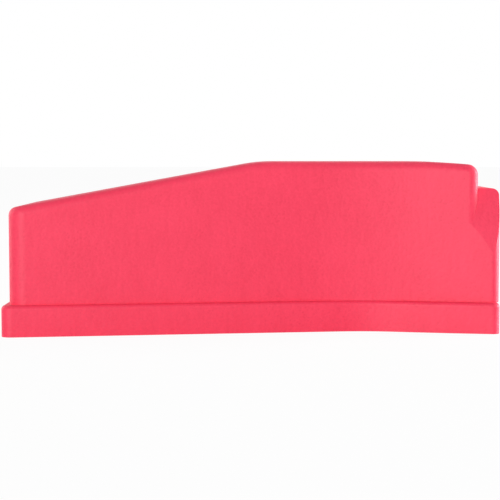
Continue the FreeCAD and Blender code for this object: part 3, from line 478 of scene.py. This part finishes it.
class CUTTER_OT_ground(bpy.types.Operator):
    """Finish the ground steel parts: guide rods, hinge pin, fence pins and detent ball."""

    bl_idname = "cutter.ground"
    bl_label = "Ground steel parts"

    def execute(self, context):
        look = context.scene.cutter_metals
        for node in ("guide_rods", "door_pin", "fence_pins", "detent_ball"):
            steel = turned(node + "_ground", look.ground, [node], roughness=0.2, pitch=0.05 * MM)
            dress(steel, node)
        return {"FINISHED"}


class CUTTER_OT_spring(bpy.types.Operator):
    """Wind the detent's spring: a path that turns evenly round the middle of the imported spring's box
    while it climbs from front to back, slowest at both ends, swept with a round wire."""

    bl_idname = "cutter.spring"
    bl_label = "Detent spring"

    def execute(self, context):
        sizes = context.scene.cutter_spring
        low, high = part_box("detent_spring")
        wire = sizes.wire / 2
        reach = (high.x - low.x) / 2 - wire
        part = np.linspace(0, 1, COIL_POINTS * sizes.turns + 1)
        turn = 2 * np.pi * sizes.turns * part
        # Share of the length climbed: slowest at both ends and fastest halfway.
        climb = part - CLOSING * np.sin(2 * np.pi * part) / (2 * np.pi)
        middle = (low + high) / 2
        path = np.stack([middle.x + reach * np.cos(turn),
                         low.y + wire + (high.y - low.y - 2 * wire) * climb,
                         middle.z + reach * np.sin(turn)], -1)
        steel = brushed("spring_wire", context.scene.cutter_metals.ground, along=1)
        add_piece("detent_coil", swept_tube(path, wire), "cutter", steel,
                  ["detent_spring"])
        dress(steel, "detent_spring")
        return {"FINISHED"}


def soft_box(name, place, aim, size, power):
    """A square lamp that faces a point and that the camera doesn't see."""
    light = bpy.data.lights.new(name, "AREA")
    light.shape = "RECTANGLE"
    light.size, light.size_y = size
    light.energy = power
    lamp = bpy.data.objects.new(name, light)
    lamp.location = place
    lamp.rotation_euler = (Vector(aim) - Vector(place)).to_track_quat("-Z", "Y").to_euler()
    lamp.visible_camera = False
    bpy.context.scene.collection.objects.link(lamp)


def seen_white(finish):
    """1 for what the camera sees, straight, mirrored or through something clear, and 0 for what lights
    the object."""
    seen = None
    for ray in ("Is Camera Ray", "Is Glossy Ray", "Is Transmission Ray"):
        one = finish.node("LightPath", output=ray)
        seen = one if seen is None else seen.most(one)
    return seen


class CUTTER_OT_stage(bpy.types.Operator):
    """Lay the floor, hang the lamps and set the camera."""

    bl_idname = "cutter.stage"
    bl_label = "Stage"

    def execute(self, context):
        look = context.scene.cutter_stage
        low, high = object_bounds()
        middle = (low + high) / 2
        self.lay_floor(look, low.z - FLOOR_GAP)
        self.light(look, middle)
        self.aim(context.scene, look, middle)
        context.scene.view_settings.view_transform = "Standard"
        return {"FINISHED"}

    def lay_floor(self, look, level):
        """A wide floor that looks white but for the object's shadow. From below it isn't there."""
        mesh = bpy.data.meshes.new("floor")
        signs = ((-1, -1), (1, -1), (1, 1), (-1, 1))
        corners = [(FLOOR_HALF * across, FLOOR_HALF * along, level) for across, along in signs]
        mesh.from_pydata(corners, [], [(0, 1, 2, 3)])
        finish = Finish("pale_floor")
        paint = finish.node("BsdfDiffuse", None, {"Color": (*look.floor, 1)})
        glow = finish.node("Emission", None, {"Strength": 1.0})
        white = seen_white(finish) * look.glow
        paper = finish.node("MixShader", None, {0: white, 1: paint, 2: glow})
        clear = finish.node("BsdfTransparent")
        below = finish.node("NewGeometry", output="Backfacing")
        finish.node_out(finish.node("MixShader", None, {0: below, 1: paper, 2: clear}))
        mesh.materials.append(finish.owner)
        floor = bpy.data.objects.new("floor", mesh)
        bpy.context.scene.collection.objects.link(floor)
        floor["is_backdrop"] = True

    def light(self, look, middle):
        """A soft box before the palm side, one beyond the tail, a weak one behind the nose and even
        light all round."""
        for name, (place, size) in LAMPS.items():
            soft_box(name + "_light", place, middle, size, getattr(look, name))
        sky = Finish("studio", sky=True)
        strength = seen_white(sky).most(look.ambient)
        sky.node_out(sky.node("Background", None, {"Color": (1, 1, 1, 1), "Strength": strength}))
        bpy.context.scene.world = sky.owner

    def aim(self, scene, look, middle):
        """A long lens before the palm side, looking a little down."""
        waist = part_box("base_plate")[0].y + look.waist
        camera = bpy.data.cameras.new("camera")
        camera.lens = look.lens
        camera.sensor_width = 36
        camera.clip_start = 0.01
        camera.clip_end = 20
        eye = bpy.data.objects.new("camera", camera)
        eye.location = (middle.x - look.aside, waist - look.distance, look.height)
        eye.rotation_euler = (math.pi / 2 - look.pitch, 0, 0)
        scene.collection.objects.link(eye)
        scene.camera = eye


class CUTTER_PT_sidebar(bpy.types.Panel):
    """The cutter's pieces and sizes in the sidebar."""

    bl_idname = "CUTTER_PT_sidebar"
    bl_label = "Trimming cutter"
    bl_space_type = "VIEW_3D"
    bl_region_type = "UI"
    bl_category = "Cutter"

    def draw(self, context):
        for operator in OPERATORS:
            self.layout.operator(operator.bl_idname)
        for name, group in GROUPS.items():
            box = self.layout.box()
            for field in group.__annotations__:
                box.prop(getattr(context.scene, name), field)


OPERATORS = (CUTTER_OT_shells, CUTTER_OT_slides, CUTTER_OT_sheets, CUTTER_OT_blades,
             CUTTER_OT_screws, CUTTER_OT_ground, CUTTER_OT_spring, CUTTER_OT_stage)
GROUPS = {"cutter_plastics": CutterPlastics, "cutter_metals": CutterMetals,
          "cutter_spring": CutterSpring, "cutter_stage": CutterStage}
CLASSES = (*GROUPS.values(), *OPERATORS, CUTTER_PT_sidebar)


def register():
    """Make the classes known and give the scene its groups."""
    for one in CLASSES:
        bpy.utils.register_class(one)
    for name, group in GROUPS.items():
        setattr(bpy.types.Scene, name, PointerProperty(type=group))


def unregister():
    """Take the groups and the classes away again."""
    for name in GROUPS:
        delattr(bpy.types.Scene, name)
    for one in reversed(CLASSES):
        bpy.utils.unregister_class(one)


def main():
    """Run every operator in order."""
    register()
    for operator in OPERATORS:
        group, name = operator.bl_idname.split(".")
        getattr(getattr(bpy.ops, group), name)()


if __name__ == "__main__":
    main()
